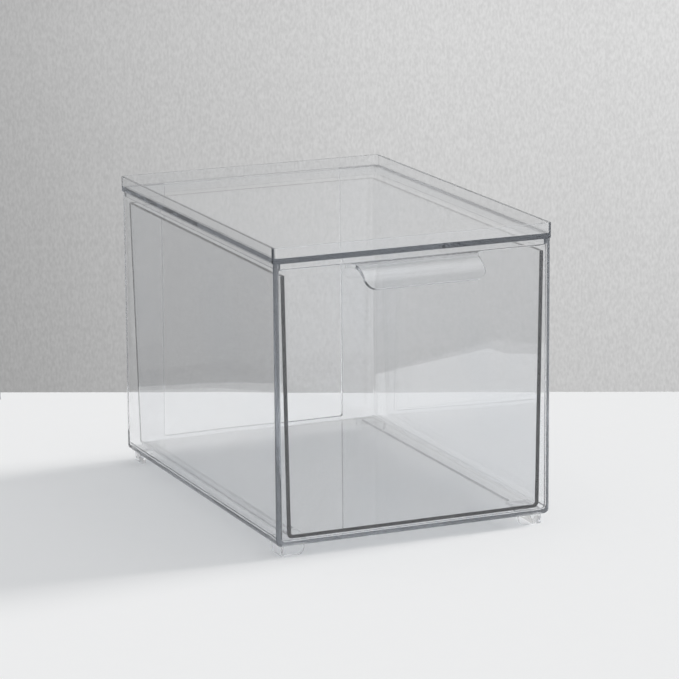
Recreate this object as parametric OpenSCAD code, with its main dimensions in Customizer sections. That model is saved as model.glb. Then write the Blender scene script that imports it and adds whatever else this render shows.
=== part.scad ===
// Stackable drawer box in clear plastic. A case, open at the front, carries a plug-in top tray
// whose rim takes the feet of the next box. A tub-shaped drawer with a flush front panel and a
// curved pull slides on two runners in the case. The drawer opens towards -Y. All sizes are in mm.

/* [Case] */
// Outer width of the case
body_w = 214; // [170:1:320]
// Outer depth of the case, front to back
body_d = 304; // [220:1:420]
// Height of the case, from its underside to the underside of the top tray's plate
body_h = 204; // [110:1:320]
// Thickness of the side walls and the back wall
wall_t = 3; // [2:0.1:4]
// Thickness of the floor
floor_t = 3.6; // [3:0.1:5]
// Outer radius of the two long bottom edges
bottom_r = 4; // [3:0.5:6]
// Radius of the front opening's two bottom corners
opening_r = 3.4; // [2:0.1:5]
// Outer radius of the four upright corners
corner_r = 2.5; // [1:0.5:4]

/* [Back window] */
// Width of back wall left standing at each side of the window
window_margin = 34; // [20:0.5:50]
// Height of the sill under the window, from the underside of the case
window_sill = 8; // [6:0.5:30]
// Radius of the window's two bottom corners
window_r = 1.5; // [1:0.5:6]

/* [Runners] */
// Width of a runner
runner_w = 1.6; // [1.2:0.1:4]
// Height of a runner above the floor
runner_h = 1.4; // [1:0.1:3]
// Distance from the outside of the case to the middle of a runner
runner_inset = 21.5; // [14:0.5:40]
// Distance from the front of the case to the runners' front ends
runner_front = 26; // [10:1:60]
// Distance from the back wall to the runners' back ends
runner_back = 12; // [5:1:60]

/* [Top tray] */
// Thickness of the plate
plate_t = 3.6; // [2.4:0.1:5]
// Height of the stacking rim above the plate
rim_h = 7.8; // [5:0.1:15]
// Thickness of the stacking rim
rim_t = 2.2; // [1.6:0.1:3]
// How far the tray stands out past the case all round
overhang = 0.8; // [0.4:0.1:1.4]
// Depth of the locating lip that plugs into the case
lip_h = 4; // [3:0.5:8]
// Thickness of the locating lip
lip_t = 2; // [1.6:0.1:3]

/* [Feet] */
// Play between a foot and the rim of the box under it, on each side
stack_play = 3.3; // [0.5:0.1:5]
// Gap left between a rim and the case that is stacked on it
stack_gap = 0.2; // [0.1:0.1:1]
// Length of each arm of a foot
foot_arm = 18; // [12:0.5:24]
// Thickness of the arms
foot_t = 2.4; // [1.6:0.1:4]
// Radius of the free bottom corner of each arm
foot_r = 5; // [1:0.5:6]
// Side of the square pad that seats the foot in the floor
pad_w = 20; // [18:0.5:30]
// Thickness of the pad, sunk flush into the floor
pad_t = 1.6; // [1:0.1:2.2]

/* [Drawer] */
// Thickness of the front panel
panel_t = 3; // [2:0.1:5]
// Gap round the sides and the bottom of the front panel
panel_gap = 0.6; // [0.3:0.1:1.5]
// Gap over the front panel
panel_top_gap = 0.4; // [0.3:0.1:1.5]
// Wall thickness of the tub
tub_wall = 3; // [1.8:0.1:3.5]
// Floor thickness of the tub
tub_floor = 2.6; // [1.8:0.1:3.5]
// Gap between the top of the tub's sides and the case walls
tub_side_gap = 2.3; // [1:0.1:6]
// Gap between the top of the tub's back and the back wall, which stops the drawer
tub_back_gap = 0.5; // [0.3:0.1:3]
// Drop of the tub's top edge below the tray's lip
tub_top_gap = 5; // [2:0.5:15]
// How far each side wall leans in from top to bottom
tub_side_draft = 3; // [0:0.5:6]
// How far the back wall leans in from top to bottom
tub_back_draft = 6; // [0:0.5:12]
// Radius of the tub's upright back corners, at the top
tub_corner_r = 4; // [4:0.5:16]
// Outer radius of the tub's bottom edges
tub_bottom_r = 5; // [4:0.1:8]
// Gap between the tub and the runners
slide_gap = 0.3; // [0.1:0.1:0.8]

/* [Pull] */
// Width of the pull between its straight ends
pull_w = 92.6; // [60:0.2:110]
// How far the pull stands out from the front panel
pull_reach = 23; // [14:0.5:30]
// How far the pull drops, from the panel's top edge to the underside of its lip
pull_drop = 15.75; // [8:0.25:30]
// Thickness of the pull
pull_t = 3; // [2:0.1:4]
// Radius of the flares where the pull meets the panel
pull_flare = 7; // [2:0.5:8]
// Radius of the pull's two front corners
pull_corner_r = 8; // [2:0.5:12]

/* [Hidden] */
$fn = 64;
blend_fn = 32;      // roundness of the shapes that a hull joins
cut = 5;            // how far a cutting shape runs past the face it cuts
sliver = 0.01;      // height of the discs that end a hull
clear_tint = [0.84, 0.88, 0.91, 0.45];
panel_tint = [0.80, 0.86, 0.92, 0.45];
foot_tint = [0.92, 0.93, 0.93, 0.6];

foot_h = rim_h + stack_gap;                              // the box stands this high on its feet
body_z = foot_h;                                         // underside of the case
tray_z = body_z + body_h;                                // underside of the tray's plate
lip_z = tray_z - lip_h;                                  // top of the front opening
front_y = (pull_reach - body_d - overhang) / 2;          // front face of the case
back_y = front_y + body_d;                               // back face of the case
inner_w = body_w - 2 * wall_t;
inner_back_y = back_y - wall_t;
tray_w = body_w + 2 * overhang;
tray_d = body_d + 2 * overhang;
middle_y = (front_y + back_y) / 2;
foot_inset = rim_t - overhang + stack_play;              // from the case's outside to a foot's face

panel_w = inner_w - 2 * panel_gap;
panel_z = body_z + floor_t + panel_gap;
panel_top_z = lip_z - panel_top_gap;
panel_back_y = front_y + panel_t;

tub_w = inner_w - 2 * tub_side_gap;                      // outer width at the top
tub_z = body_z + floor_t + runner_h + slide_gap;
tub_top_z = lip_z - tub_top_gap;
tub_back_y = inner_back_y - tub_back_gap;                // outer back face at the top

// Rectangle with its lower edge at the origin and its two lower corners rounded
module bin_outline(w, h, r) {
    translate([-w / 2, r]) square([w, h - r]);
    translate([-w / 2 + r, 0]) square([w - 2 * r, h / 2]);
    for (side = [-1, 1]) translate([side * (w / 2 - r), r]) circle(r);
}

// Rectangle centred on the origin with four round corners
module round_rectangle(w, d, r) {
    square([w - 2 * r, d], center = true);
    square([w, d - 2 * r], center = true);
    for (x = [-1, 1], y = [-1, 1]) translate([x * (w / 2 - r), y * (d / 2 - r)]) circle(r);
}

// Draws an outline of widths and heights upright, from y = from_y back to y = to_y
module along_y(from_y, to_y, z) {
    translate([0, to_y, z]) rotate([90, 0, 0]) linear_extrude(to_y - from_y) children();
}

// Puts its children, which are drawn for the front left corner, at another corner of the case
module at_corner(right, back) {
    translate([0, middle_y, 0]) mirror([right, 0, 0]) mirror([0, back, 0])
        translate([0, -middle_y, 0]) children();
}

// Square block that a foot's pad fills in the underside of the floor, at the front left corner
module pad_block() {
    translate([-body_w / 2 + foot_inset, front_y + foot_inset, body_z]) cube([pad_w, pad_w, pad_t]);
}

// One arm of a foot: an upright plate along +X whose free bottom corner is rounded
module foot_arm_plate() {
    translate([0, foot_t, 0]) rotate([90, 0, 0]) linear_extrude(foot_t) intersection() {
        square([foot_arm, foot_h]);
        union() {
            square([foot_arm - foot_r, foot_h]);
            translate([0, foot_r]) square([foot_arm, foot_h]);
            translate([foot_arm - foot_r, foot_r]) circle(foot_r);
        }
    }
}

// Foot at the front left corner: an angle of two plates under a square pad
module corner_foot() {
    color(foot_tint) {
        pad_block();
        translate([-body_w / 2 + foot_inset, front_y + foot_inset, 0]) {
            foot_arm_plate();
            mirror([1, -1, 0]) foot_arm_plate();
        }
    }
}

// The four feet
module foot_front_left() { at_corner(0, 0) corner_foot(); }
module foot_front_right() { at_corner(1, 0) corner_foot(); }
module foot_back_left() { at_corner(0, 1) corner_foot(); }
module foot_back_right() { at_corner(1, 1) corner_foot(); }

// Case: floor, side walls, back wall with its window, and the two runners
module case_shell() {
    color(clear_tint) {
        difference() {
            intersection() {
                along_y(front_y, back_y, body_z) bin_outline(body_w, body_h, bottom_r);
                translate([0, middle_y, body_z]) linear_extrude(body_h)
                    round_rectangle(body_w, body_d, corner_r);
            }
            along_y(front_y - cut, inner_back_y, body_z + floor_t)
                bin_outline(inner_w, body_h, opening_r);
            along_y(inner_back_y - cut, back_y + cut, body_z + window_sill)
                bin_outline(body_w - 2 * window_margin, body_h, window_r);
            for (right = [0, 1], back = [0, 1]) at_corner(right, back) pad_block();
        }
        for (side = [-1, 1])
            translate([side * (body_w / 2 - runner_inset) - runner_w / 2, front_y + runner_front,
                       body_z + floor_t])
                cube([runner_w, body_d - wall_t - runner_front - runner_back, runner_h]);
    }
}

// Top tray: plate, stacking rim above it and locating lip below it
module top_tray() {
    color(clear_tint) {
        translate([0, middle_y, tray_z]) {
            linear_extrude(plate_t) round_rectangle(tray_w, tray_d, corner_r + overhang);
            linear_extrude(plate_t + rim_h) difference() {
                round_rectangle(tray_w, tray_d, corner_r + overhang);
                square([tray_w - 2 * rim_t, tray_d - 2 * rim_t], center = true);
            }
        }
        translate([-inner_w / 2, front_y, lip_z]) difference() {
            cube([inner_w, body_d - wall_t, lip_h]);
            translate([lip_t, lip_t, -cut])
                cube([inner_w - 2 * lip_t, body_d - wall_t - 2 * lip_t, lip_h + cut]);
        }
    }
}

// Drafted block with round edges that fills the tub out to a distance "inset" inside its outer skin
module tub_block(inset, bottom_z, top_z) {
    low_r = tub_bottom_r - inset;
    high_r = tub_corner_r - inset;
    low_x = tub_w / 2 - tub_side_draft - tub_bottom_r;
    high_x = tub_w / 2 - tub_corner_r;
    hull() for (side = [-1, 1]) {
        for (y = [front_y - cut, tub_back_y - tub_back_draft - tub_bottom_r])
            translate([side * low_x, y, bottom_z + low_r]) sphere(low_r, $fn = blend_fn);
        for (y = [front_y - cut, tub_back_y - tub_corner_r])
            translate([side * high_x, y, tub_top_z])
                cylinder(h = max(top_z - tub_top_z, sliver), r = high_r, $fn = blend_fn);
    }
}

// Tub of the drawer: floor, two side walls and back wall, open at the top and closed by the panel
module drawer_tub() {
    color(clear_tint) difference() {
        tub_block(0, tub_z, tub_top_z);
        tub_block(tub_wall, tub_z + tub_floor, tub_top_z + cut);
        translate([-body_w / 2, panel_back_y - body_d, 0]) cube([body_w, body_d, tray_z]);
        translate([-body_w / 2, front_y, tub_top_z]) cube([body_w, body_d, cut]);
    }
}

// Front panel of the drawer, flush in the opening of the case
module drawer_front() {
    color(panel_tint) along_y(front_y, panel_back_y, panel_z)
        bin_outline(panel_w, panel_top_z - panel_z, opening_r - panel_gap);
}

// Plan of the pull: round front corners, and flares where it meets the panel
module pull_plan() {
    half = pull_w / 2;
    translate([-half, front_y - pull_reach + pull_corner_r])
        square([pull_w, pull_reach - pull_corner_r]);
    translate([-half + pull_corner_r, front_y - pull_reach])
        square([pull_w - 2 * pull_corner_r, pull_reach]);
    for (side = [-1, 1]) {
        translate([side * (half - pull_corner_r), front_y - pull_reach + pull_corner_r])
            circle(pull_corner_r);
        difference() {
            translate([side * half - pull_flare, front_y - pull_flare])
                square([2 * pull_flare, pull_flare]);
            translate([side * (half + pull_flare), front_y - pull_flare]) circle(pull_flare);
        }
    }
}

// Point at a distance from the origin, turned by an angle from straight up towards the front
function leaning(angle, distance) = [-distance * sin(angle), distance * cos(angle)];

// Section of the pull: an arc that leaves the top of the panel level, with a round lip
module pull_section() {
    run = pull_reach - pull_t / 2;                       // from the panel out to the middle of the lip
    fall = pull_drop - pull_t;                           // drop of the arc's middle line
    sweep = 2 * atan(fall / run);
    middle_r = run / sin(sweep);
    outer_r = middle_r + pull_t / 2;
    translate([front_y, panel_top_z - outer_r]) {
        intersection() {
            difference() {
                circle(outer_r, $fn = 128);
                circle(outer_r - pull_t, $fn = 128);
            }
            polygon([[0, 0], leaning(0, 3 * outer_r), leaning(sweep / 2, 3 * outer_r),
                     leaning(sweep, 3 * outer_r)]);
        }
        translate(leaning(sweep, middle_r)) circle(pull_t / 2);
    }
}

// Curved pull on the top edge of the front panel
module drawer_pull() {
    reach_w = pull_w + 2 * pull_flare;
    color(panel_tint) intersection() {
        translate([0, 0, body_z]) linear_extrude(body_h) pull_plan();
        translate([-reach_w / 2, 0, 0]) rotate([90, 0, 90]) linear_extrude(reach_w) pull_section();
    }
}

case_shell();
top_tray();
foot_front_left();
foot_front_right();
foot_back_left();
foot_back_right();
drawer_tub();
drawer_front();
drawer_pull();
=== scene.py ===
"""A stackable drawer box in clear plastic: its mouldings, their finish and the studio round them.

The mouldings are shaped with edit-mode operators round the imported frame. Their sizes are written in
millimetres, and the scene is in metres. The box stands on the floor at z = 0, with its front
towards -Y.
"""
import logging
import math
from collections.abc import Callable, Iterable
from dataclasses import dataclass
from enum import Enum, IntEnum
from typing import NamedTuple

import bmesh
import bpy
from mathutils import Matrix, Vector


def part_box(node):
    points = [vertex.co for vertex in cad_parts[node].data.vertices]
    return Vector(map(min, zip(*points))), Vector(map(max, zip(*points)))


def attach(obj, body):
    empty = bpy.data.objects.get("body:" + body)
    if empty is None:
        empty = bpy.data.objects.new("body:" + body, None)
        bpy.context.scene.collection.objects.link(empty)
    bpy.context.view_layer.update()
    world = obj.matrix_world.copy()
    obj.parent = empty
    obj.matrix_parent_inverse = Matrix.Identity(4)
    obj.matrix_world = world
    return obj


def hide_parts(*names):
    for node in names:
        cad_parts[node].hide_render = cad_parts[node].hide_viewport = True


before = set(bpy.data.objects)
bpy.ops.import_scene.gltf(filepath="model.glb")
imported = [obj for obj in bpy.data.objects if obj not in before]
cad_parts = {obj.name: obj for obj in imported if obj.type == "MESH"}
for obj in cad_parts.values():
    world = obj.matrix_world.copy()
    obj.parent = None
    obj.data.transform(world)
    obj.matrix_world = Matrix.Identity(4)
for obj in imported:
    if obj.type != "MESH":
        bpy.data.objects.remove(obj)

MM = 0.001
MICRON = 1e-6
NEAR = 0.02             # mm, how close two places have to be to count as the same
CUT_MERGE = 0.002       # mm, how close to a cut a point is taken to lie on it
ALIGNED = 0.9           # least share of a direction that counts as lying on an axis
SQUARE_ON = 0.99        # the same, for faces that stand beside a rounding
CROSSING = 0.1          # largest share of a direction that counts as crossing an axis
FLAT_ANGLE = 0.2        # degrees, faces that meet below it lie in one plane
SOFTEN_ANGLE = 30       # degrees, edges above it are softened
SMOOTH_ANGLE = 40       # degrees, edges below it are shaded smoothly
SHARP_ANGLE = 50        # degrees, edges above it count as sharp
FLAT_WEIGHT = 80        # how strongly large faces decide the shading of their edges
LIGHT_BOUNCES = 160     # light that runs along inside a wall turns this often before it is lost
LOG = logging.getLogger("drawer_box")

Colour = tuple[float, float, float]
Place = tuple[float, float, float]
Test = Callable[[Vector, Vector], bool]


class Axis(IntEnum):
    """A direction of the frame."""

    X = 0
    Y = 1
    Z = 2


class Body(str, Enum):
    """The two bodies that the drawer's slide joins."""

    CASE = "case"
    DRAWER = "drawer"


class Slot(str, Enum):
    """The record's material slots."""

    CASE = "case_clear"
    TRAY = "tray_clear"
    FOOT = "foot_clear"
    TUB = "tub_clear"
    PANEL = "panel_clear"
    PULL = "pull_clear"


class Corner(Enum):
    """A corner of the case, with the signs that mirror the front left one to it."""

    FRONT_LEFT = ("front_left", 1, 1)
    FRONT_RIGHT = ("front_right", -1, 1)
    BACK_LEFT = ("back_left", 1, -1)
    BACK_RIGHT = ("back_right", -1, -1)


class Rounding(NamedTuple):
    """The radius of a rounded edge, and the number of faces across it.

    Blender keeps the radius within what the short edges beside it leave room for. That leaves
    0.3 mm for the top of the tray's rim and 0.2 mm for the pull.
    """

    radius: float
    steps: int


def same(a: float, b: float) -> bool:
    """Whether two places in millimetres are the same."""
    return abs(a - b) < NEAR


def lies_on(axis: Axis, direction: Vector) -> bool:
    """Whether a direction lies on an axis, either way."""
    return abs(direction[axis]) > ALIGNED


def crosses(axis: Axis, direction: Vector) -> bool:
    """Whether a direction crosses an axis."""
    return abs(direction[axis]) < CROSSING


def put_in_order(mesh: bmesh.types.BMesh) -> None:
    """Sorts a mesh by place.

    A bevel leaves its faces in an order of its own each time, and the cuts and merges that follow
    would turn out a little differently with it.
    """
    for elements, place in (
            (mesh.verts, lambda vert: vert.co),
            (mesh.edges, lambda edge: (edge.verts[0].co + edge.verts[1].co) / 2),
            (mesh.faces, lambda face: face.calc_center_bounds())):
        by_place = sorted(elements, key=lambda e: [round(part / MICRON) for part in place(e)])
        ranks = {element: rank for rank, element in enumerate(by_place)}
        elements.sort(key=ranks.__getitem__)


def outline(node: str) -> tuple[Vector, Vector]:
    """Lowest and highest corner of a CAD node, in millimetres."""
    low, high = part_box(node)
    return low / MM, high / MM


# ---------------------------------------------------------------------------------------- modelling


class Moulding:
    """A piece on the bench, shaped from a block with edit-mode operators. Lengths are in mm."""

    def __init__(self, name: str, low: Iterable[float], high: Iterable[float]) -> None:
        """Adds the block between two corners, at its place and size.

        Args:
            name: name of the piece.
            low: lowest corner.
            high: highest corner.
        """
        low, high = Vector(low), Vector(high)
        bpy.ops.object.select_all(action="DESELECT")
        bpy.ops.mesh.primitive_cube_add(size=MM, location=(low + high) / 2 * MM, scale=high - low)
        self.piece = bpy.context.object
        self.piece.name = self.piece.data.name = name
        bpy.ops.object.transform_apply(location=True, rotation=True, scale=True)
        bpy.ops.object.mode_set(mode="EDIT")

    def _mesh(self) -> bmesh.types.BMesh:
        """The mesh that is being edited."""
        return bmesh.from_edit_mesh(self.piece.data)

    def _select(self, kind: str, found: Callable[[bmesh.types.BMesh], list]) -> None:
        """Selects what a search of the mesh finds, and nothing else.

        Args:
            kind: "VERT", "EDGE" or "FACE".
            found: gives the elements to select.
        """
        bpy.ops.mesh.select_mode(type=kind)
        bpy.ops.mesh.select_all(action="DESELECT")
        mesh = self._mesh()
        put_in_order(mesh)
        picked = found(mesh)
        if not picked:
            raise ValueError(f"{self.piece.name}: no {kind.lower()} is there to pick")
        for element in picked:
            element.select_set(True)
        mesh.select_flush_mode()
        bmesh.update_edit_mesh(self.piece.data)

    def faces(self, test: Test) -> "Moulding":
        """Selects the faces whose middle and normal pass a test."""
        self._select("FACE", lambda mesh: [
            f for f in mesh.faces if test(f.calc_center_bounds() / MM, f.normal)])
        return self

    def edges(self, test: Test) -> "Moulding":
        """Selects the edges whose middle and direction pass a test."""

        def found(mesh: bmesh.types.BMesh) -> list:
            """The edges that pass."""
            ends = ((e, e.verts[0].co, e.verts[1].co) for e in mesh.edges)
            return [e for e, a, b in ends if test((a + b) / 2 / MM, (b - a).normalized())]

        self._select("EDGE", found)
        return self

    def points(self, test: Callable[[Vector], bool]) -> "Moulding":
        """Selects the points whose place passes a test."""
        self._select("VERT", lambda mesh: [v for v in mesh.verts if test(v.co / MM)])
        return self

    def slices(self, axis: Axis, places: Iterable[float], test: Test) -> "Moulding":
        """Cuts faces across an axis, so that parts of them can be worked on.

        Args:
            axis: axis that the cutting planes stand across.
            places: where the planes are on it.
            test: picks the faces by middle and normal, before each cut.
        """
        for place in places:
            point, across = Vector(), Vector()
            point[axis], across[axis] = place * MM, 1
            self.faces(test)
            bpy.ops.mesh.bisect(plane_co=point, plane_no=across, threshold=CUT_MERGE * MM)
        return self

    def extrude(self, x: float = 0, y: float = 0, z: float = 0) -> "Moulding":
        """Draws the selected faces out by a distance."""
        bpy.ops.mesh.extrude_region_move(TRANSFORM_OT_translate={"value": Vector((x, y, z)) * MM})
        return self

    def move(self, x: float = 0, y: float = 0, z: float = 0) -> "Moulding":
        """Moves what is selected by a distance."""
        bpy.ops.transform.translate(value=Vector((x, y, z)) * MM)
        return self

    def flatten(self, axis: Axis, place: float) -> "Moulding":
        """Brings what is selected into one plane across an axis."""
        scale, centre = Vector((1, 1, 1)), Vector()
        scale[axis], centre[axis] = 0, place * MM
        bpy.ops.transform.resize(value=scale, center_override=centre)
        return self

    def inset(self, width: float) -> "Moulding":
        """Insets the selected faces."""
        bpy.ops.mesh.inset(thickness=width * MM, depth=0, use_even_offset=True)
        return self

    def round(self, rounding: Rounding) -> "Moulding":
        """Rounds the selected edges."""
        bpy.ops.mesh.bevel(offset=rounding.radius * MM, offset_type="OFFSET",
                           segments=rounding.steps, profile=0.5, affect="EDGES",
                           clamp_overlap=True, loop_slide=True)
        return self

    def round_sharp(self, rounding: Rounding, spare: Callable[[Vector], bool]) -> "Moulding":
        """Rounds the sharp edges, apart from those whose middle passes a test.

        Args:
            rounding: the rounding that the edges get.
            spare: picks the edges that stay sharp.
        """
        sharp = math.radians(SHARP_ANGLE)
        self._select("EDGE", lambda mesh: [
            e for e in mesh.edges if e.is_manifold and e.calc_face_angle() > sharp
            and not spare((e.verts[0].co + e.verts[1].co) / 2 / MM)])
        return self.round(rounding)

    def remove(self) -> "Moulding":
        """Deletes the selected faces."""
        bpy.ops.mesh.delete(type="FACE")
        return self

    def tidy(self) -> "Moulding":
        """Merges faces that lie in one plane, after cuts."""
        put_in_order(self._mesh())
        bpy.ops.mesh.select_all(action="SELECT")
        bpy.ops.mesh.dissolve_limited(angle_limit=math.radians(FLAT_ANGLE))
        return self

    def reopen(self) -> "Moulding":
        """Goes back into edit mode."""
        bpy.ops.object.mode_set(mode="EDIT")
        return self

    def done(self) -> "Moulding":
        """Turns all faces outwards and leaves edit mode."""
        bpy.ops.mesh.select_all(action="SELECT")
        bpy.ops.mesh.normals_make_consistent(inside=False)
        bpy.ops.mesh.select_all(action="DESELECT")
        bpy.ops.object.mode_set(mode="OBJECT")
        return self

    def modify(self, kind: str, **settings: object) -> "Moulding":
        """Adds a modifier and applies it.

        Args:
            kind: Blender's name for the modifier.
            settings: its values.
        """
        modifier = self.piece.modifiers.new(kind.title(), kind)
        for key, value in settings.items():
            setattr(modifier, key, value)
        bpy.ops.object.modifier_apply(modifier=modifier.name)
        return self

    def soften(self, rounding: Rounding) -> "Moulding":
        """Rounds the edges that are left, and shades the curves smoothly and the flats flat."""
        self.modify("BEVEL", width=rounding.radius * MM, segments=rounding.steps,
                    limit_method="ANGLE", angle_limit=math.radians(SOFTEN_ANGLE),
                    use_clamp_overlap=True)
        return self.smooth()

    def smooth(self) -> "Moulding":
        """Puts the mesh in order, and shades its curves smoothly and its flats flat."""
        self.reopen()
        put_in_order(self._mesh())
        self.done()
        bpy.ops.object.shade_smooth_by_angle(angle=math.radians(SMOOTH_ANGLE))
        self.modify("WEIGHTED_NORMAL", mode="FACE_AREA", weight=FLAT_WEIGHT, keep_sharp=True)
        return self

    def checked(self) -> bpy.types.Object:
        """The finished piece, once it is known to be closed and the right way out."""
        mesh = bmesh.new()
        mesh.from_mesh(self.piece.data)
        open_edges = sum(not e.is_manifold for e in mesh.edges)
        volume = mesh.calc_volume(signed=True) / MM**3
        mesh.free()
        if open_edges or volume <= 0:
            raise ValueError(f"{self.piece.name}: {open_edges} open edges, volume {volume:.0f} mm3")
        LOG.info("%s: %d faces, %.0f mm3", self.piece.name, len(self.piece.data.polygons), volume)
        return self.piece


# ----------------------------------------------------------------------------------------- finishes


class Graph:
    """A node tree being wired."""

    def __init__(self, tree: bpy.types.NodeTree) -> None:
        """Starts from an empty tree."""
        self.tree = tree
        tree.nodes.clear()

    def node(self, kind: str, inputs: dict | None = None, **settings: object) -> bpy.types.Node:
        """Adds a node.

        Args:
            kind: Blender's name for the node type.
            inputs: values, or the sockets to link from, by input name or number.
            settings: properties of the node.
        Returns:
            The node.
        """
        node = self.tree.nodes.new(kind)
        for key, value in settings.items():
            setattr(node, key, value)
        for key, value in (inputs or {}).items():
            if isinstance(value, bpy.types.NodeSocket):
                self.tree.links.new(value, node.inputs[key])
            else:
                node.inputs[key].default_value = value
        return node

    def math(self, operation: str, *values: object) -> bpy.types.NodeSocket:
        """The result of a math node."""
        return self.node("ShaderNodeMath", dict(enumerate(values)), operation=operation).outputs[0]

    def span(self, value: bpy.types.NodeSocket, given: tuple[float, float],
             wanted: tuple[float, float], shape: str = "LINEAR") -> bpy.types.NodeSocket:
        """Maps a range of values to another, and holds it at its ends.

        Args:
            value: the value to map.
            given: ends of the range that it has.
            wanted: ends of the range that it gets.
            shape: Blender's name for the curve between them.
        Returns:
            The mapped value.
        """
        return self.node("ShaderNodeMapRange", {
            "Value": value, "From Min": given[0], "From Max": given[1], "To Min": wanted[0],
            "To Max": wanted[1]}, interpolation_type=shape).outputs[0]

    def blend(self, share: object, first: Colour, second: Colour) -> bpy.types.NodeSocket:
        """A blend of two colours by a share."""
        inputs = {0: share, 6: (*first, 1), 7: (*second, 1)}
        return self.node("ShaderNodeMix", inputs, data_type="RGBA").outputs[2]


def new_group(name: str, inputs: dict[str, tuple[str, float | None]],
              outputs: dict[str, str]) -> tuple[Graph, bpy.types.Node, bpy.types.Node]:
    """Makes an empty shader node group with named sockets.

    Args:
        name: name of the group.
        inputs: socket type and default value by name.
        outputs: socket type by name.
    Returns:
        The group's graph, its input node and its output node.
    """
    tree = bpy.data.node_groups.new(name, "ShaderNodeTree")
    for label, (kind, value) in inputs.items():
        socket = tree.interface.new_socket(label, in_out="INPUT", socket_type=kind)
        if value is not None:
            socket.default_value = value
    for label, kind in outputs.items():
        tree.interface.new_socket(label, in_out="OUTPUT", socket_type=kind)
    graph = Graph(tree)
    return graph, graph.node("NodeGroupInput"), graph.node("NodeGroupOutput")


def handling_marks() -> bpy.types.NodeTree:
    """Node group: faint smears and dust that dull polished plastic in patches, as a roughness."""
    graph, start, end = new_group(
        "handling_marks",
        {"Vector": ("NodeSocketVector", None), "Scale": ("NodeSocketFloat", 9.0),
         "Polish": ("NodeSocketFloat", 0.0), "Smear": ("NodeSocketFloat", 0.03)},
        {"Roughness": "NodeSocketFloat", "Mask": "NodeSocketFloat"})
    patches = graph.node("ShaderNodeTexNoise", {
        "Vector": start.outputs["Vector"], "Scale": start.outputs["Scale"], "Detail": 4.0,
        "Roughness": 0.55})
    mask = graph.span(patches.outputs["Fac"], (0.46, 0.72), (0.0, 1.0), "SMOOTHSTEP")
    smear = graph.math("MULTIPLY", mask, start.outputs["Smear"])
    rough = graph.math("ADD", smear, start.outputs["Polish"])
    graph.tree.links.new(rough, end.inputs["Roughness"])
    graph.tree.links.new(mask, end.inputs["Mask"])
    return graph.tree


def moulding_waves() -> bpy.types.NodeTree:
    """Node group: the long shallow waves that cooling leaves in a moulded wall, as a height."""
    graph, start, end = new_group(
        "moulding_waves",
        {"Vector": ("NodeSocketVector", None), "Scale": ("NodeSocketFloat", 14.0),
         "Depth": ("NodeSocketFloat", 1.0)},
        {"Height": "NodeSocketFloat"})
    waves = graph.node("ShaderNodeTexNoise", {
        "Vector": start.outputs["Vector"], "Scale": start.outputs["Scale"], "Detail": 1.0,
        "Roughness": 0.3, "Distortion": 0.4})
    height = graph.math("MULTIPLY", waves.outputs["Fac"], start.outputs["Depth"])
    graph.tree.links.new(height, end.inputs["Height"])
    return graph.tree


@dataclass(frozen=True)
class Finish:
    """A finish that is ready to put on, and the record's slot that it stands for."""

    slot: Slot
    material: bpy.types.Material

    def dress(self, piece: bpy.types.Object, body: Body, node: str) -> None:
        """Puts the finish on a piece and ties the piece to the frame.

        Args:
            piece: the finished piece.
            body: body that it rides on.
            node: CAD node that it stands for.
        """
        piece.data.materials.clear()
        piece.data.materials.append(self.material)
        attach(piece, body.value)
        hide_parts(node)
        LOG.info("%s rides on %s for %s", piece.name, body.value, node)


@dataclass(frozen=True)
class ClearPlastic:
    """Polished clear plastic. Light that runs along a wall comes out dark and bluish at its edges.

    The lamp and the diffuse light of the room pass straight through, dimmed by a shade each.
    """

    slot: Slot
    tint: Colour = (0.993, 0.996, 1.0)
    faint: Colour = (0.98, 0.987, 0.995)
    ior: float = 1.53
    smear: float = 0.03
    edge_colour: Colour = (0.06, 0.11, 0.18)
    edge_density: float = 3.0
    wave_strength: float = 0.015
    wave_depth: float = 0.002
    lamp_shade: Colour = (0.87, 0.875, 0.88)
    sky_shade: Colour = (0.98, 0.982, 0.984)

    def wire(self, marks: bpy.types.NodeTree, waves: bpy.types.NodeTree) -> Finish:
        """Wires the material.

        Args:
            marks: node group of the handling marks.
            waves: node group of the moulding waves.
        Returns:
            The finish, ready to put on.
        """
        material = bpy.data.materials.new(self.slot.value)
        material.use_nodes = True
        graph = Graph(material.node_tree)
        place = graph.node("ShaderNodeTexCoord").outputs["Object"]
        dull = graph.node("ShaderNodeGroup", node_tree=marks)
        wavy = graph.node("ShaderNodeGroup", node_tree=waves)
        for group in (dull, wavy):
            graph.tree.links.new(place, group.inputs["Vector"])
        dull.inputs["Smear"].default_value = self.smear
        colour = graph.blend(dull.outputs["Mask"], self.tint, self.faint)
        bump = graph.node("ShaderNodeBump", {
            "Height": wavy.outputs["Height"], "Strength": self.wave_strength,
            "Distance": self.wave_depth})
        plastic = graph.node("ShaderNodeBsdfPrincipled", {
            "Base Color": colour, "Roughness": dull.outputs["Roughness"], "IOR": self.ior,
            "Transmission Weight": 1.0, "Normal": bump.outputs["Normal"]})
        rays = graph.node("ShaderNodeLightPath").outputs
        surface = plastic
        for ray, shade in (("Is Diffuse Ray", self.sky_shade), ("Is Shadow Ray", self.lamp_shade)):
            clear = graph.node("ShaderNodeBsdfTransparent", {"Color": (*shade, 1)})
            surface = graph.node("ShaderNodeMixShader", {
                0: rays[ray], 1: surface.outputs[0], 2: clear.outputs[0]})
        depth = graph.node("ShaderNodeVolumeAbsorption", {
            "Color": (*self.edge_colour, 1), "Density": self.edge_density})
        graph.node("ShaderNodeOutputMaterial", {
            "Surface": surface.outputs[0], "Volume": depth.outputs[0]})
        return Finish(self.slot, material)


# --------------------------------------------------------------------------------------- mouldings


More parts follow.
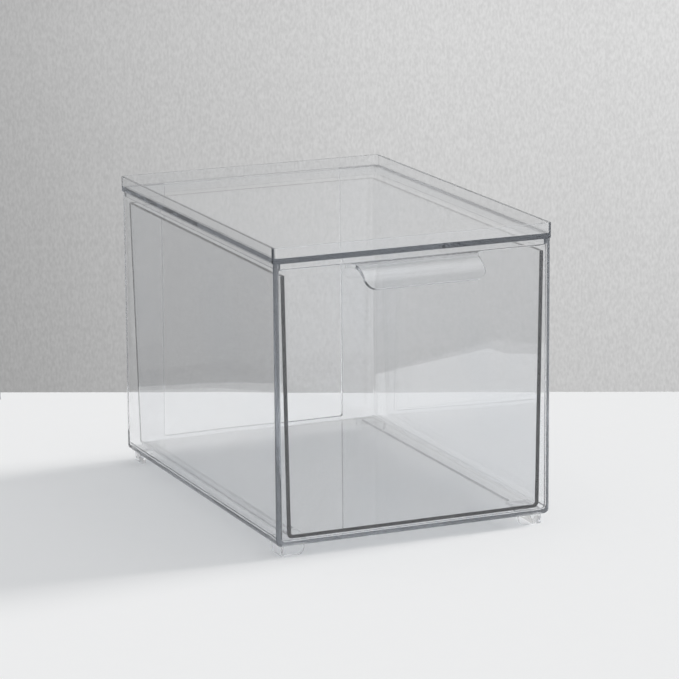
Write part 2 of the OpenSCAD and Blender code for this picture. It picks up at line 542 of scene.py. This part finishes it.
@dataclass
class Case:
    """The case: floor, two sides, back wall with its window, two runners and four pad pockets."""

    finish: Finish
    wall: float = 3.0
    floor: float = 3.6
    bottom: Rounding = Rounding(4.0, 8)
    inside: Rounding = Rounding(3.4, 8)
    corner: Rounding = Rounding(2.5, 6)
    window_width: float = 146.0
    window_sill: float = 8.0
    window_corner: Rounding = Rounding(1.5, 6)
    runner_width: float = 1.6
    runner_height: float = 1.4
    runner_place: float = 85.5
    runner_front: float = 26.0
    runner_back: float = 12.0
    pad_play: float = 0.1
    edge: Rounding = Rounding(0.45, 2)

    def build(self) -> None:
        """Builds and dresses the case."""
        self.finish.dress(self.shape(), Body.CASE, "case_shell")

    def shape(self) -> bpy.types.Object:
        """Shapes the case from its floor slab."""
        low, high = outline("case_shell")
        floor_z, sill_z = low.z + self.floor, low.z + self.window_sill
        side, back = high.x - self.wall, high.y - self.wall
        work = Moulding("case_clear_shell", low, (high.x, high.y, floor_z))

        def floor_face(at: Vector, out: Vector) -> bool:
            """Whether a face is in the top of the floor slab."""
            return out.z > ALIGNED and same(at.z, floor_z)

        def in_window(at: Vector) -> bool:
            """Whether a place on the walls is under the window."""
            return at.y > back and abs(at.x) < self.window_width / 2

        work.slices(Axis.X, (-side, side), floor_face).slices(Axis.Y, (back,), floor_face)
        work.slices(Axis.X, (-self.window_width / 2, self.window_width / 2),
                    lambda at, out: floor_face(at, out) and at.y > back)
        work.faces(lambda at, out: floor_face(at, out) and (abs(at.x) > side or at.y > back))
        work.extrude(z=sill_z - floor_z)
        work.faces(lambda at, out: out.z > ALIGNED and same(at.z, sill_z) and not in_window(at))
        work.extrude(z=high.z - sill_z)
        self.add_runners(work, floor_face, low.y, back)
        self.sink_pads(work, low.z)
        work.tidy()
        self.round_edges(work, low, high, floor_z)
        return work.done().soften(self.edge).checked()

    def add_runners(self, work: Moulding, floor_face: Test, front: float, back: float) -> None:
        """Raises the two runners from the floor.

        Args:
            work: the case.
            floor_face: picks the faces in the top of the floor.
            front: where the floor's front end is.
            back: where the back wall's inner face is.
        """
        half = self.runner_width / 2
        near, far = front + self.runner_front, back - self.runner_back
        places = [side * self.runner_place + step for side in (-1, 1) for step in (-half, half)]
        work.slices(Axis.X, places, floor_face).slices(Axis.Y, (near, far), floor_face)
        work.faces(lambda at, out: floor_face(at, out) and abs(abs(at.x) - self.runner_place) < half
                   and near < at.y < far)
        work.extrude(z=self.runner_height)

    def sink_pads(self, work: Moulding, under: float) -> None:
        """Sinks the four pockets in the underside that the feet's pads fill.

        Args:
            work: the case.
            under: height of the underside.
        """
        near, far = outline("foot_front_left"), outline("foot_back_right")
        x_places = [near[0].x - self.pad_play, near[1].x + self.pad_play]
        y_places = [near[0].y - self.pad_play, near[1].y + self.pad_play,
                    far[0].y - self.pad_play, far[1].y + self.pad_play]

        def under_face(at: Vector, out: Vector) -> bool:
            """Whether a face is in the underside."""
            return out.z < -ALIGNED and same(at.z, under)

        work.slices(Axis.X, x_places + [-x for x in x_places], under_face)
        work.slices(Axis.Y, y_places, under_face)
        work.faces(lambda at, out: under_face(at, out) and -x_places[0] > abs(at.x) > -x_places[1]
                   and (y_places[0] < at.y < y_places[1] or y_places[2] < at.y < y_places[3]))
        work.extrude(z=near[1].z + self.pad_play - under)

    def round_edges(self, work: Moulding, low: Vector, high: Vector, floor_z: float) -> None:
        """Rounds the long edges, the window's bottom corners, and the outlines of the two ends.

        Args:
            work: the case.
            low: lowest corner of the case.
            high: highest corner of the case.
            floor_z: height of the floor's top.
        """
        for x, z, rounding in (
                (high.x, low.z, self.bottom),
                (high.x - self.wall, floor_z, self.inside),
                (self.window_width / 2, low.z + self.window_sill, self.window_corner)):
            work.edges(lambda at, along: lies_on(Axis.Y, along) and same(at.z, z)
                       and same(abs(at.x), x))
            work.round(rounding)
        arc = self.bottom.radius
        for end in (low.y, high.y):
            def on_outline(at: Vector, along: Vector) -> bool:
                """Whether an edge is on this end's outline, its open top left out."""
                outside = same(abs(at.x), high.x) or at.z < low.z + arc and abs(at.x) > high.x - arc
                return same(at.y, end) and crosses(Axis.Y, along) and (outside or same(at.z, low.z))
            work.edges(on_outline).round(self.corner)


@dataclass
class TopTray:
    """The plug-in top: a plate with a stacking rim above it and a locating lip below it."""

    finish: Finish
    plate: float = 3.6
    rim: float = 2.2
    lip_height: float = 4.0
    lip: float = 2.0
    case_wall: float = 3.0
    corner: Rounding = Rounding(3.3, 6)
    play: float = 0.06
    rim_edge: Rounding = Rounding(0.8, 4)
    edge: Rounding = Rounding(0.4, 2)

    def build(self) -> None:
        """Builds and dresses the tray."""
        self.finish.dress(self.shape(), Body.CASE, "top_tray")

    def shape(self) -> bpy.types.Object:
        """Shapes the tray from one block."""
        low, high = outline("top_tray")
        case_low, case_high = outline("case_shell")
        under = low.z + self.lip_height + self.play
        middle_y = (low.y + high.y) / 2
        work = Moulding("top_tray_clear", (low.x, low.y, under), high)
        work.edges(lambda at, along: lies_on(Axis.Z, along)).round(self.corner)
        work.faces(lambda at, out: out.z > ALIGNED).inset(self.rim)
        work.faces(lambda at, out: out.z > ALIGNED and same(at.x, 0) and same(at.y, middle_y))
        work.extrude(z=under - self.play + self.plate - high.z)
        self.hang_lip(work, under, case_low, case_high)
        work.tidy().edges(lambda at, along: same(at.z, high.z)).round(self.rim_edge)
        return work.done().soften(self.edge).checked()

    def hang_lip(self, work: Moulding, under: float, case_low: Vector, case_high: Vector) -> None:
        """Draws the locating lip down from the plate.

        Args:
            work: the tray.
            under: height of the plate's underside.
            case_low: lowest corner of the case.
            case_high: highest corner of the case.
        """
        side = case_high.x - self.case_wall - self.play
        front, back = case_low.y, case_high.y - self.case_wall - self.play

        def under_face(at: Vector, out: Vector) -> bool:
            """Whether a face is in the underside of the plate."""
            return out.z < -ALIGNED and same(at.z, under)

        def in_lip(at: Vector, out: Vector) -> bool:
            """Whether a face of the underside is in the lip's ring."""
            inside = abs(at.x) < side - self.lip and front + self.lip < at.y < back - self.lip
            return under_face(at, out) and abs(at.x) < side and front < at.y < back and not inside

        work.slices(Axis.X, (-side, self.lip - side, side - self.lip, side), under_face)
        work.slices(Axis.Y, (front, front + self.lip, back - self.lip, back), under_face)
        work.faces(in_lip).extrude(z=-self.lip_height - self.play)


@dataclass
class Feet:
    """The four corner feet: each an angle of two arms under a square pad."""

    finish: Finish
    arm: float = 18.0
    arm_thickness: float = 2.4
    pad: float = 1.6
    arm_corner: Rounding = Rounding(5.0, 8)
    edge: Rounding = Rounding(0.25, 2)

    def build(self) -> None:
        """Builds and dresses the four feet."""
        first = self.shape_first()
        feet = {corner: first if corner is Corner.FRONT_LEFT else self.mirrored(first, corner)
                for corner in Corner}
        for corner, foot in feet.items():
            self.finish.dress(foot, Body.CASE, f"foot_{corner.value[0]}")

    def shape_first(self) -> bpy.types.Object:
        """Shapes the front left foot from its pad."""
        low, high = outline("foot_front_left")
        top = high.z - self.pad
        work = Moulding("foot_clear_front_left", (low.x, low.y, top), high)

        def under_face(at: Vector, out: Vector) -> bool:
            """Whether a face is in the underside of the pad."""
            return out.z < -ALIGNED and same(at.z, top)

        def in_angle(at: Vector, out: Vector) -> bool:
            """Whether a face of the underside is in one of the two arms."""
            x, y = at.x - low.x, at.y - low.y
            along_x = y < self.arm_thickness and x < self.arm
            along_y = x < self.arm_thickness and y < self.arm
            return under_face(at, out) and (along_x or along_y)

        work.slices(Axis.X, (low.x + self.arm_thickness, low.x + self.arm), under_face)
        work.slices(Axis.Y, (low.y + self.arm_thickness, low.y + self.arm), under_face)
        work.faces(in_angle).extrude(z=low.z - top)
        work.tidy()
        work.edges(lambda at, along: same(at.z, low.z) and (
            lies_on(Axis.Y, along) and same(at.x, low.x + self.arm)
            or lies_on(Axis.X, along) and same(at.y, low.y + self.arm)))
        work.round(self.arm_corner)
        return work.done().soften(self.edge).checked()

    def mirrored(self, first: bpy.types.Object, corner: Corner) -> bpy.types.Object:
        """Copies the front left foot, with a mesh of its own, to another corner.

        Args:
            first: the front left foot.
            corner: corner that the copy is for.
        Returns:
            The copy.
        """
        label, x_sign, y_sign = corner.value
        low, high = outline("case_shell")
        copy = first.copy()
        copy.data = first.data.copy()
        copy.name = copy.data.name = f"foot_clear_{label}"
        bpy.context.collection.objects.link(copy)
        to_middle = Matrix.Translation((0, (low.y + high.y) / 2 * MM, 0))
        mirror = Matrix.Diagonal((x_sign, y_sign, 1, 1))
        copy.data.transform(to_middle @ mirror @ to_middle.inverted())
        if x_sign * y_sign < 0:
            copy.data.flip_normals()
        return copy


@dataclass
class Drawer:
    """The drawer: a drafted tub, a flush front panel and a curved pull on the panel's top edge."""

    tub_finish: Finish
    panel_finish: Finish
    pull_finish: Finish
    tub_wall: float = 3.0
    tub_floor: float = 2.6
    side_draft: float = 3.0
    back_draft: float = 6.0
    tub_corner: Rounding = Rounding(4.0, 10)
    tub_bottom: Rounding = Rounding(5.0, 7)
    tub_edge: Rounding = Rounding(0.5, 3)
    tub_bond: float = 0.05
    panel_corner: Rounding = Rounding(2.8, 6)
    panel_edge: Rounding = Rounding(0.4, 3)
    pull_width: float = 92.6
    pull_thickness: float = 3.0
    pull_radius: float = 24.5
    pull_sweep: float = 60.5
    pull_slices: int = 40
    pull_corner: Rounding = Rounding(8.0, 10)
    pull_edge: Rounding = Rounding(1.3, 5)
    pull_bond: float = 0.4
    flare: float = 7.0
    flare_foot: float = 0.8
    flare_steps: int = 6
    flare_edge: Rounding = Rounding(0.3, 2)

    def build(self) -> None:
        """Builds and dresses the tub, the panel and the pull."""
        self.tub_finish.dress(self.shape_tub(), Body.DRAWER, "drawer_tub")
        self.panel_finish.dress(self.shape_panel(), Body.DRAWER, "drawer_front")
        self.pull_finish.dress(self.shape_pull(), Body.DRAWER, "drawer_pull")

    def shape_tub(self) -> bpy.types.Object:
        """Shapes the tub: a drafted block whose skin is kept, open above and in front."""
        low, high = outline("drawer_tub")
        low = low - Vector((0, self.tub_bond, 0))
        work = Moulding("drawer_tub_clear", low, high)
        for side in (-1, 1):
            work.points(lambda at: same(at.z, low.z) and at.x * side > 0)
            work.move(x=-side * self.side_draft)
        work.points(lambda at: same(at.z, low.z) and same(at.y, high.y)).move(y=-self.back_draft)
        work.edges(lambda at, along: lies_on(Axis.Z, along) and at.y > 0).round(self.tub_corner)
        work.edges(lambda at, along: same(at.z, low.z) and not same(at.y, low.y))
        work.round(self.tub_bottom)
        work.faces(lambda at, out: out.z > ALIGNED or out.y < -ALIGNED).remove()
        work.done().modify("SOLIDIFY", thickness=self.tub_wall * MM, offset=-1,
                           use_even_offset=True, use_rim=True)
        work.reopen().points(lambda at: same(at.z, low.z + self.tub_wall))
        work.move(z=self.tub_floor - self.tub_wall)
        work.points(lambda at: at.z > high.z - NEAR).flatten(Axis.Z, high.z)
        work.round_sharp(self.tub_edge, spare=lambda at: at.y < low.y + self.tub_bond)
        return work.done().smooth().checked()

    def shape_panel(self) -> bpy.types.Object:
        """Shapes the flush front panel."""
        low, high = outline("drawer_front")
        work = Moulding("drawer_front_clear", low, high)
        work.edges(lambda at, along: lies_on(Axis.Y, along) and same(at.z, low.z))
        return work.round(self.panel_corner).done().soften(self.panel_edge).checked()

    def shape_pull(self) -> bpy.types.Object:
        """Shapes the pull flat and upright, and then bends it over the panel's top edge."""
        panel_low, panel_high = outline("drawer_front")
        half, thick = self.pull_width / 2, self.pull_thickness / 2
        turn = math.radians(self.pull_sweep) + thick / self.pull_radius
        length = self.pull_radius * turn
        work = Moulding("drawer_pull_clear", (-half, -thick, 0), (half, thick, length))
        work.edges(lambda at, along: lies_on(Axis.Y, along) and same(at.z, length))
        work.round(self.pull_corner)
        for side in (-1, 1):
            def flank(at: Vector, out: Vector) -> bool:
                """Whether a face is on the upright side of the plate."""
                return out.x * side > SQUARE_ON
            work.slices(Axis.Z, (self.flare_foot,), flank)
            work.faces(lambda at, out: flank(at, out) and at.z < self.flare_foot)
            work.extrude(x=side * self.flare)
        work.edges(lambda at, along: lies_on(Axis.Y, along) and same(at.z, self.flare_foot)
                   and same(abs(at.x), half))
        work.round(Rounding(self.flare - self.flare_foot, self.flare_steps)).tidy()
        work.edges(lambda at, along: same(abs(at.y), thick) and crosses(Axis.Y, along)
                   and at.z > self.flare)
        work.round(self.pull_edge).done().soften(self.flare_edge).reopen()
        step = length / self.pull_slices
        work.slices(Axis.Z, [step * count for count in range(1, self.pull_slices)],
                    lambda at, out: True)
        work.done().modify("SIMPLE_DEFORM", deform_method="BEND", deform_axis="X", angle=-turn)
        work.piece.location = Vector((0, panel_low.y + self.pull_bond, panel_high.z - thick)) * MM
        work.piece.rotation_euler = (math.radians(90), 0, 0)
        bpy.ops.object.transform_apply(location=True, rotation=True, scale=True)
        return work.smooth().checked()


# ---------------------------------------------------------------------------------------- studio


@dataclass
class Studio:
    """Floor, backdrop, lights and camera. Lengths are in metres and angles in degrees."""

    floor_size: float = 12.0
    floor_colour: Colour = (0.90, 0.90, 0.90)
    floor_speck: Colour = (0.891, 0.891, 0.891)
    wall_corners: tuple[tuple[float, float], ...] = (
        (2.60, -0.866), (-0.130, 0.412), (-0.136, 0.388), (-2.40, -0.672))
    wall_height: float = 0.9
    # painted light on the backdrop: its brightness along x, darker to the left and lighter to the
    # right where the key lamp is
    wall_painted_tones: tuple[tuple[float, float], ...] = (
        (-0.30, 0.35), (-0.077, 0.462), (0.128, 0.594), (0.34, 0.651), (0.60, 0.68))
    # painted light on the backdrop: darker near the floor and lighter upwards
    wall_painted_fade: tuple[float, float] = (0.87, 1.06)
    wall_painted_fade_height: float = 0.3
    wall_peel: tuple[float, float] = (0.93, 1.07)
    wall_grain: float = 170.0
    wall_grain_stretch: Place = (3.2, 3.2, 1.5)
    room_colour: Colour = (0.98, 0.99, 1.0)
    room_strength: float = 0.25
    softbox_strength: float = 1.64
    softbox_edge: tuple[float, float] = (0.78, 0.95)
    seen_room: Colour = (0.80, 0.80, 0.80)
    key_place: Place = (2.68, 0.04, 1.74)
    key_target: Place = (0.0, 0.0, 0.05)
    key_spread: float = 14.0
    key_strength: float = 2.06
    camera_place: Place = (-1.0655, -2.4748, 0.7437)
    camera_heading: float = 23.347
    camera_dip: float = 13.059
    camera_roll: float = 0.468
    camera_lens: float = 197.62
    camera_sensor: float = 36.0

    def build(self) -> None:
        """Sets the studio up."""
        self.make_floor()
        self.make_wall()
        self.make_world()
        self.make_key()
        self.make_camera()

    def make_floor(self) -> None:
        """Lays the floor."""
        bpy.ops.object.select_all(action="DESELECT")
        bpy.ops.mesh.primitive_plane_add(size=self.floor_size)
        floor = bpy.context.object
        floor.name = "floor"
        material = bpy.data.materials.new("floor_matt")
        material.use_nodes = True
        graph = Graph(material.node_tree)
        place = graph.node("ShaderNodeTexCoord").outputs["Object"]
        noise = graph.node("ShaderNodeTexNoise", {"Vector": place, "Scale": 60.0, "Detail": 3.0})
        tone = graph.blend(noise.outputs["Fac"], self.floor_speck, self.floor_colour)
        matt = graph.node("ShaderNodeBsdfDiffuse", {"Color": tone})
        graph.node("ShaderNodeOutputMaterial", {"Surface": matt.outputs[0]})
        floor.data.materials.append(material)

    def make_wall(self) -> None:
        """Stands the backdrop behind the box, and folds it forward out of the picture's left."""
        bpy.ops.object.select_all(action="DESELECT")
        (x, y), *others = self.wall_corners
        bpy.ops.mesh.primitive_plane_add(size=1)
        wall = bpy.context.object
        wall.name = "backdrop"
        bpy.ops.object.mode_set(mode="EDIT")
        bpy.ops.mesh.select_mode(type="VERT")
        bpy.ops.mesh.delete(type="ONLY_FACE")
        bpy.ops.mesh.select_all(action="SELECT")
        bpy.ops.mesh.merge(type="CENTER")
        bpy.ops.transform.translate(value=(x, y, 0))
        for next_x, next_y in others:
            bpy.ops.mesh.extrude_region_move(
                TRANSFORM_OT_translate={"value": (next_x - x, next_y - y, 0)})
            x, y = next_x, next_y
        bpy.ops.mesh.select_all(action="SELECT")
        bpy.ops.mesh.extrude_region_move(
            TRANSFORM_OT_translate={"value": (0, 0, self.wall_height)})
        bpy.ops.object.mode_set(mode="OBJECT")
        if wall.data.polygons[0].normal.y > 0:
            wall.data.flip_normals()
        wall.data.materials.append(self.backdrop_material())

    def backdrop_material(self) -> bpy.types.Material:
        """Wires the grey wall, which glows with painted light: lighter to the right, where the key
        lamp is, and lighter upwards.

        The camera, mirrors and clear plastic see its tone from the front. The lights, and whoever
        looks from behind, see nothing of it.
        """
        material = bpy.data.materials.new("backdrop_painted_light")
        material.use_nodes = True
        graph = Graph(material.node_tree)
        place = graph.node("ShaderNodeTexCoord").outputs["Object"]
        axes = graph.node("ShaderNodeSeparateXYZ", {0: place})
        # Painted light: the backdrop's tone along x, lighter to the right where the key lamp is.
        start, end = self.wall_painted_tones[0][0], self.wall_painted_tones[-1][0]
        across = graph.span(axes.outputs["X"], (start, end), (0.0, 1.0))
        ramp = graph.node("ShaderNodeValToRGB", {0: across})
        ramp.color_ramp.interpolation = "CARDINAL"
        stops = ramp.color_ramp.elements
        while len(stops) < len(self.wall_painted_tones):
            stops.new(0.5)
        for stop, (x, tone) in zip(stops, self.wall_painted_tones):
            stop.position, stop.color = (x - start) / (end - start), (tone, tone, tone, 1)
        # Painted light: the backdrop darker near the floor and lighter upwards.
        fade = graph.span(axes.outputs["Z"], (0.0, self.wall_painted_fade_height), self.wall_painted_fade)
        drawn = graph.node("ShaderNodeVectorMath", {0: place, 1: self.wall_grain_stretch},
                           operation="MULTIPLY")
        grain = graph.node("ShaderNodeTexNoise", {
            "Vector": drawn.outputs[0], "Scale": self.wall_grain, "Detail": 1.5})
        peel = graph.span(grain.outputs["Fac"], (0.3, 0.7), self.wall_peel)
        strength = graph.math("MULTIPLY", fade, peel)
        # The backdrop glows with this painted light instead of being lit by the lamps.
        tone = graph.node("ShaderNodeEmission", {"Color": ramp.outputs[0], "Strength": strength})
        rays = graph.node("ShaderNodeLightPath").outputs
        through = graph.math("MAXIMUM", rays["Is Glossy Ray"], rays["Is Transmission Ray"])
        seen = graph.math("MAXIMUM", rays["Is Camera Ray"], through)
        behind = graph.node("ShaderNodeNewGeometry").outputs["Backfacing"]
        clear = graph.node("ShaderNodeBsdfTransparent")
        surface = graph.node("ShaderNodeMixShader", {
            0: graph.math("SUBTRACT", seen, behind), 1: clear.outputs[0], 2: tone.outputs[0]})
        graph.node("ShaderNodeOutputMaterial", {"Surface": surface.outputs[0]})
        return material

    def make_world(self) -> None:
        """Dims the room under a soft box of light overhead. The camera sees a plain pale tone."""
        world = bpy.data.worlds.new("studio")
        world.use_nodes = True
        world.cycles.sampling_method = "NONE"
        graph = Graph(world.node_tree)
        direction = graph.node("ShaderNodeTexCoord").outputs["Generated"]
        axes = graph.node("ShaderNodeSeparateXYZ", {0: direction})
        light = graph.span(axes.outputs["Z"], self.softbox_edge,
                           (self.room_strength, self.softbox_strength), "SMOOTHSTEP")
        room = graph.node("ShaderNodeBackground", {
            "Color": (*self.room_colour, 1), "Strength": light})
        pale = graph.node("ShaderNodeBackground", {"Color": (*self.seen_room, 1)})
        seen = graph.node("ShaderNodeLightPath").outputs["Is Camera Ray"]
        both = graph.node("ShaderNodeMixShader", {0: seen, 1: room.outputs[0], 2: pale.outputs[0]})
        graph.node("ShaderNodeOutputWorld", {"Surface": both.outputs[0]})
        bpy.context.scene.world = world

    def make_key(self) -> None:
        """Hangs the key light on the right."""
        lamp = bpy.data.lights.new("key", "SUN")
        lamp.angle, lamp.energy = math.radians(self.key_spread), self.key_strength
        key = bpy.data.objects.new("key", lamp)
        key.location = self.key_place
        aim = Vector(self.key_target) - key.location
        key.rotation_euler = aim.to_track_quat("-Z", "Y").to_euler()
        bpy.context.collection.objects.link(key)

    def make_camera(self) -> None:
        """Stands the camera to the left of the box and above it."""
        data = bpy.data.cameras.new("camera")
        data.sensor_width, data.lens = self.camera_sensor, self.camera_lens
        camera = bpy.data.objects.new("camera", data)
        heading, tilt, roll = (Matrix.Rotation(math.radians(angle), 4, axis) for angle, axis in (
            (-self.camera_heading, "Z"), (90 - self.camera_dip, "X"), (-self.camera_roll, "Z")))
        camera.matrix_world = Matrix.Translation(self.camera_place) @ heading @ tilt @ roll
        bpy.context.collection.objects.link(camera)
        bpy.context.scene.camera = camera


PLASTICS = (
    ClearPlastic(Slot.CASE, edge_density=3.6),
    ClearPlastic(Slot.TRAY, edge_density=5.2),
    ClearPlastic(Slot.FOOT, edge_density=1.0, smear=0.06),
    ClearPlastic(Slot.TUB, edge_colour=(0.09, 0.11, 0.16), edge_density=11.0),
    ClearPlastic(Slot.PANEL),
    ClearPlastic(Slot.PULL, edge_density=2.8),
)


def main() -> None:
    """Builds the box and its studio in order."""
    logging.basicConfig(level=logging.INFO, format="%(name)s: %(message)s")
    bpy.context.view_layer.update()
    marks, waves = handling_marks(), moulding_waves()
    finishes = {plastic.slot: plastic.wire(marks, waves) for plastic in PLASTICS}

    Case(finishes[Slot.CASE]).build()
    TopTray(finishes[Slot.TRAY]).build()
    Feet(finishes[Slot.FOOT]).build()
    Drawer(finishes[Slot.TUB], finishes[Slot.PANEL], finishes[Slot.PULL]).build()
    Studio().build()

    scene = bpy.context.scene
    scene.view_settings.view_transform = "Standard"
    for limit in ("max", "glossy", "transmission"):
        setattr(scene.cycles, f"{limit}_bounces", LIGHT_BOUNCES)
    scene.cycles.transparent_max_bounces = LIGHT_BOUNCES
    scene.cycles.caustics_reflective = False
    scene.cycles.caustics_refractive = False


if __name__ == "__main__":
    main()
